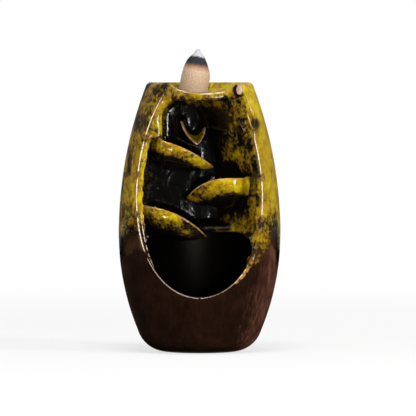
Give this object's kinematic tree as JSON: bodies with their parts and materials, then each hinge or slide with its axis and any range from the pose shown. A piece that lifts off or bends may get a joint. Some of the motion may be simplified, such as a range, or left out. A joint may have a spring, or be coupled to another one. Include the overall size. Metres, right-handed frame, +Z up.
{
  "type": "backflow incense burner",
  "caption": "Round ceramic backflow incense burner, its front carved open over stepped leaf-shaped pools and a smoke chamber, with an incense cone standing in the dish on top.",
  "frame": {"origin": "centre of the foot, on the table", "axes": "+Z up along the axis of the barrel, +X to the right, the carved front faces -Y"},
  "size_m": [0.0752, 0.0714, 0.141],
  "materials": {
    "glaze": "yellow and olive glaze with black pools on the upper part, bare dark brown clay below",
    "incense": "pressed incense of fine wood powder, tan, charred and ash grey at the tip"
  },
  "bodies": {
    "root": {"burner_body": "glaze", "incense_cone": "incense"}
  },
  "joints": []
}
